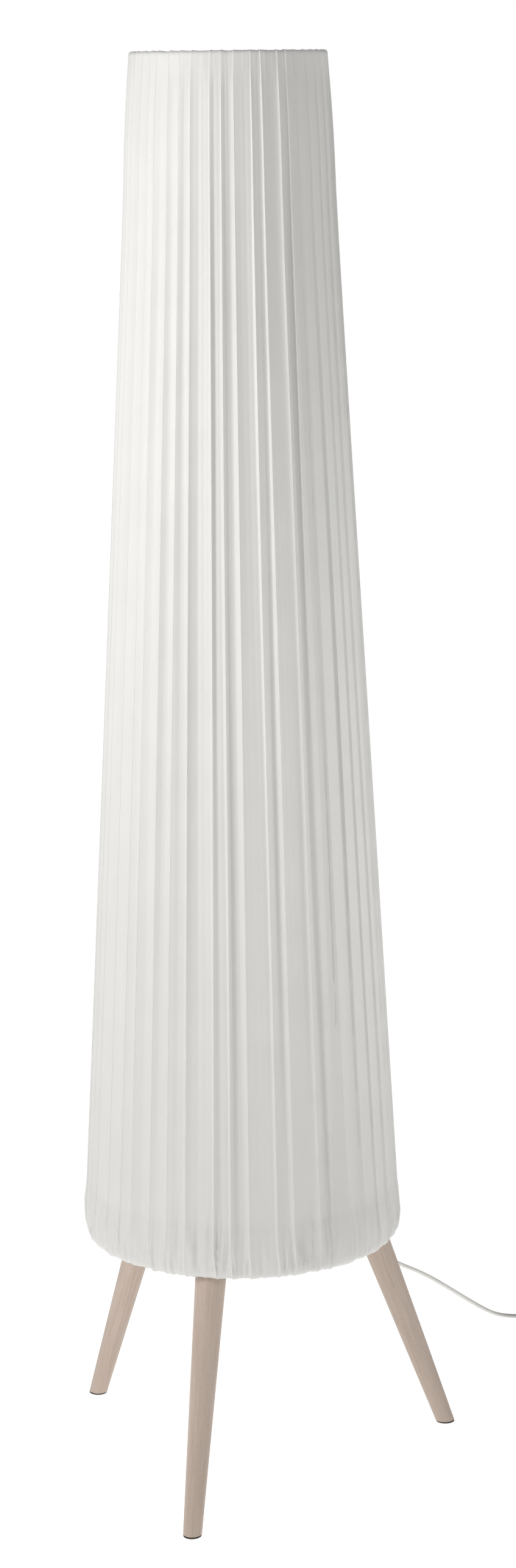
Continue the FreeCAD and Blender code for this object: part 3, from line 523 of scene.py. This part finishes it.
def make_cover(material):
    """The knife-pleated cover as one sheet, each fold's edge lying over the start of the next panel."""
    rng = np.random.default_rng(11)
    rows = cover_rows()
    radius, height, deep = rows.T
    count = len(rows)
    along = np.concatenate([[0], np.cumsum(np.hypot(np.diff(radius), np.diff(height)))])
    tangent = np.gradient(rows[:, :2], along, axis=0)
    tangent /= np.linalg.norm(tangent, axis=1)[:, None]
    normal = np.stack([-tangent[:, 1], tangent[:, 0]], axis=1)  # outwards from the wall
    lowest = int(np.argmin(height))
    from_hem = np.abs(along - along[lowest])
    from_rim = np.abs(along - along[int(np.argmax(height))])

    pitch = 2 * math.pi / PLEATS
    base = (np.arange(PLEATS) + rng.uniform(-0.22, 0.22, PLEATS)) * pitch
    down = np.clip((RIM_TOP - height) / WALL, 0, 1)  # 0 at the rim to 1 at the hem
    folds = []
    for j in range(PLEATS):
        lean = rng.uniform(-0.06, 0.06) * down + rng.uniform(-0.035, 0.035) * np.sin(
            2 * math.pi * (down * rng.uniform(0.5, 1.1) + rng.uniform()))
        tug = rng.uniform(-0.12, 0.12) * ease(from_hem, 34, 6)
        tug = tug + rng.uniform(-0.06, 0.06) * ease(from_rim, 24, 6)
        folds.append(base[j] + (lean + tug) * pitch)
    narrow = rng.uniform(0.65, 1.25, PLEATS)  # the rise's width as a multiple of its height
    broad = rng.uniform(0.25, 0.6, PLEATS)  # and as a share of the pleat's width
    steep = rng.uniform(size=PLEATS) > 0.15
    sunk = rng.uniform(0.6, 1.0, PLEATS)
    tip = rng.uniform(0.0, 0.13, PLEATS)
    fluted = rng.uniform(0.08, 0.4, PLEATS)  # how much of the depth the hollow panel climbs itself
    lowest_at = rng.uniform(0.4, 0.85, PLEATS)  # the hollow's deepest line, as a share of the panel
    crease = rng.uniform(0.01, 0.06, PLEATS)

    widths, swells, valleys, tips = [], [], [], []
    for j in range(PLEATS):
        left = folds[j - 1] - (2 * math.pi if j == 0 else 0)
        widths.append((folds[j] - left) * radius)
        drift = np.sin(2 * math.pi * (down * rng.uniform(0.6, 1.6) + rng.uniform()))
        change = 0.5 + 0.7 * down + 0.3 * drift
        rise = narrow[j] * sunk[j] * deep / widths[j] if steep[j] else broad[j]
        swells.append(np.clip(rise * change, 0.04, 0.7))
        valleys.append(deep * sunk[j] * (1 + 0.12 * np.sin(2 * math.pi * (1.1 * down + rng.uniform()))))
        dip = 0.05 * np.sin(2 * math.pi * (1.3 * down + rng.uniform()))
        tips.append(deep * np.maximum(tip[j] + dip, 0))

    def panel_depth(j, share):
        """Depth of a hollow panel, in millimetres, from under the last fold (0) to its own rise (1)."""
        start, low = tips[j - 1] + 2 * PLY, lowest_at[j]
        climb = (valleys[j] - tips[j]) * fluted[j]
        if share < low:
            return start + (valleys[j] - start) * math.sin(share / low * math.pi / 2)
        return valleys[j] - climb * (1 - math.cos((share - low) / (1 - low) * math.pi / 2))

    columns, depth = [], []

    def column(j, u, sink, turn=0.0):
        columns.append(folds[j - 1] - (2 * math.pi if j == 0 else 0) + u * widths[j] / radius - turn)
        depth.append(sink)

    def rise_column(j, share, layer=0, turn=0.0):
        """A line on the rise, or in a layer of cloth that is folded under it."""
        foot = panel_depth(j, 1.0)
        climbed = share ** 1.15
        column(j, 1 - swells[j] * (1 - share), foot + (tips[j] - foot) * climbed + layer * PLY, turn)

    for j in range(PLEATS):
        before = (j - 1) % PLEATS
        for share, layer in UNDER[2:]:
            rise_column(before, share, layer, 2 * math.pi if j == 0 else 0)
        for share in PANEL:
            set_in = crease[j] * rng.normal() * (0.1 < share < 0.95)
            wander = 1 + 0.4 * np.sin(4 * down + rng.uniform(0, 6))
            column(j, share * (1 - swells[j]), panel_depth(j, share) + set_in * wander)
        for share in RISE:
            rise_column(j, share)
        for share, layer in UNDER[:2]:
            rise_column(j, share, layer)
    azimuth = np.stack(columns, axis=1)
    depth = np.stack(depth, axis=1)

    soft = waves(rng, 50, 130, 6)
    scallops = waves(rng, 60, 170, 9)
    far = np.maximum(from_hem - 6, 0) * np.where(along > along[lowest], 0.35, 1.0)
    gather = wrinkles(rng, azimuth, far, radius, 400, (20, 85), (0.6, 2.3), (0.6, 1.8))
    gather = np.where(gather < -INMOST, -INMOST + KEPT * (gather + INMOST), gather)
    near = from_rim * np.where(height > RING[1], 2.5, 1.0)
    nips = wrinkles(rng, azimuth, near, radius, 150, (8, 40), (0.10, 0.45), (0.8, 1.8))
    ripple = 0.05 * soft(azimuth + 0.008 * np.sin(5 * down)[:, None]) * ease(from_rim, 5, 40)[:, None]
    out = gather + nips + ripple - depth
    out = np.where(out > OUTMOST, OUTMOST + KEPT * (out - OUTMOST), out)

    edge = ease(from_hem, 12, 0)[:, None]
    r = radius[:, None] + out * normal[:, :1]
    z = height[:, None] + out * normal[:, 1:] + 0.12 * edge * scallops(azimuth)
    clear = 132.65 - 0.15 * np.maximum(height - 217, 0) - 0.8 * np.maximum(210.5 - height, 0)
    clear = np.where(along < along[lowest], clear, 0.0)[:, None]  # the cloth stays outside the ring's wire
    r = np.maximum(r, clear)
    points = np.stack([r * np.cos(azimuth), r * np.sin(azimuth), z], axis=-1) * MM

    wide = azimuth.shape[1]
    faces = [
        (i * wide + k, (i + 1) * wide + k, (i + 1) * wide + (k + 1) % wide, i * wide + (k + 1) % wide)
        for i in range(count - 1) for k in range(wide)
    ]
    cover = new_piece("pleated_cover", points.reshape(-1, 3), faces, material)
    per_pleat = wide // PLEATS
    ends = np.array([edge.vertices[:] for edge in cover.data.edges])
    upright = ends[:, 0] % wide == ends[:, 1] % wide
    # crisp where a panel starts and along a fold's edge
    crisp = upright & np.isin(ends[:, 0] % wide % per_pleat, (2, per_pleat - 3))
    sharp = cover.data.attributes.new("sharp_edge", "BOOLEAN", "EDGE")
    sharp.data.foreach_set("value", crisp)

    step = np.linalg.norm(np.diff(points, axis=1), axis=2)
    across = np.concatenate([np.zeros((count, 1)), np.cumsum(step, axis=1)], axis=1)
    closing = np.linalg.norm(points[:, 0] - points[:, -1], axis=1)
    grid = np.array([loop.vertex_index for loop in cover.data.loops])
    row, place = grid // wide, grid % wide
    over_seam = np.repeat((place.reshape(-1, 4) == wide - 1).any(axis=1), 4) & (place == 0)
    u = np.where(over_seam, across[row, -1] + closing[row], across[row, place])
    layer = cover.data.uv_layers.new(name="cloth")
    layer.data.foreach_set("uv", np.stack([u, along[row] * MM], axis=1).ravel().astype(np.float32))

    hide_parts("shade_fabric")
    return cover


# ---------------------------------------------------------------- studio
def make_studio():
    data = bpy.data.meshes.new("floor")
    grid = bmesh.new()
    bmesh.ops.create_grid(grid, x_segments=8, y_segments=8, size=90.0)
    grid.to_mesh(data)
    grid.free()
    data.materials.append(floor_look())
    floor = bpy.data.objects.new("floor", data)
    bpy.context.scene.collection.objects.link(floor)

    world = bpy.data.worlds.new("studio")
    world.use_nodes = True
    bpy.context.scene.world = world
    tree = world.node_tree
    back = tree.nodes["Background"]
    back.inputs["Color"].default_value = (1, 1, 1, 1)
    place = tree.nodes.new("ShaderNodeTexCoord")
    split = tree.nodes.new("ShaderNodeSeparateXYZ")
    ramp = tree.nodes.new("ShaderNodeMapRange")
    ramp.interpolation_type = "SMOOTHSTEP"
    for socket, value in (("From Min", 0.03), ("From Max", 0.16), ("To Min", 1.0), ("To Max", 0.25)):
        ramp.inputs[socket].default_value = value
    tree.links.new(place.outputs["Generated"], split.inputs[0])
    tree.links.new(split.outputs[2], ramp.inputs["Value"])
    tree.links.new(ramp.outputs["Result"], back.inputs["Strength"])

    def lamp(name, at, aim, size, power, tint=(1, 1, 1), spread=180):
        light = bpy.data.lights.new(name, "AREA")
        light.shape = "RECTANGLE"
        light.size, light.size_y = size
        light.energy = power
        light.spread = math.radians(spread)
        light.color = tint
        holder = bpy.data.objects.new(name, light)
        bpy.context.scene.collection.objects.link(holder)
        holder.location = at
        holder.visible_camera = False
        holder.rotation_mode = "QUATERNION"
        holder.rotation_quaternion = (Vector(aim) - Vector(at)).to_track_quat("-Z", "Y")

    lamp("key_light", (-0.94, -0.70, 1.04), (0, 0, 0.92), (0.3, 0.6), 9.0, (1.0, 0.998, 0.99))
    lamp("rim_light", (2.0, -0.35, 0.60), (0, 0, 0.58), (0.4, 0.4), 0.40, spread=34)
    lamp("top_light", (0.2, -0.3, 2.6), (0, 0, 1.1), (0.9, 0.9), 4)
    lamp("low_fill", (0.95, -0.85, 0.12), (0, 0, 0.25), (0.7, 0.3), 0.5)
    scene = bpy.context.scene
    scene.view_settings.view_transform = "Standard"
    scene.view_settings.look = "None"


# ---------------------------------------------------------------- the lamp
def dress_cad(zinc):
    """Finishes for the CAD nodes whose shape is right as it is."""
    lean = math.radians(20.265)  # each leg's, from upright
    for name, azimuth in (("right", 16.13), ("back", 136.13), ("front", 256.13)):
        dress(wood_look(f"leg_wood_{name}", math.radians(azimuth), lean), f"leg_{name}")
        dress(pad_look(), f"foot_pad_{name}")
    dress(zinc, "leg_studs", "leg_weld_nuts",
          "stem_nipple", "holder_nipple", "stem_washer", "stem_nut", "switch_screws", "switch_spring")
    dress(painted_look("white_enamel", (0.80, 0.80, 0.79), 0.38), "stem_flange", "stem_tube", "leg_plate",
          "shade_top_ring", "shade_bottom_ring", "shade_fitter", *(f"shade_rib_{i}" for i in range(1, 7)))
    dress(elastic_look(), "hem_elastic")
    dress(plastic_look("white_moulding", (0.78, 0.775, 0.76), 0.42), "holder_cap", "holder_skirt",
          "cord_gland", "strain_relief", "switch_base", "switch_cover", "coil_tie")
    dress(plastic_look("button_moulding", (0.70, 0.69, 0.67), 0.34), "switch_button")
    dress(plastic_look("plug_moulding", (0.74, 0.73, 0.71), 0.46), "plug_body", "plug_pin_sleeves")
    dress(plastic_look("holder_ceramic", (0.82, 0.81, 0.78), 0.28, scale=900.0), "holder_insert")
    dress(plastic_look("black_glass", (0.02, 0.02, 0.022), 0.12, scale=300.0), "bulb_insulator")
    dress(metal_look("brass", (0.78, 0.60, 0.32), 0.32), "holder_thread", "holder_contact",
          "holder_terminals", "switch_contacts")
    dress(metal_look("nickel", (0.66, 0.64, 0.60), 0.24, 0.08), "bulb_cap", "bulb_contact", "plug_pins")
    dress(globe_look(), "bulb_globe")


make_camera()
sheath = sheath_look()
zinc = metal_look("zinc_steel", (0.62, 0.63, 0.64), 0.36)
make_cords(sheath, make_spring(zinc))
dress(sheath, "cord_inside")
make_cover(cloth_look())
dress_cad(zinc)
make_studio()
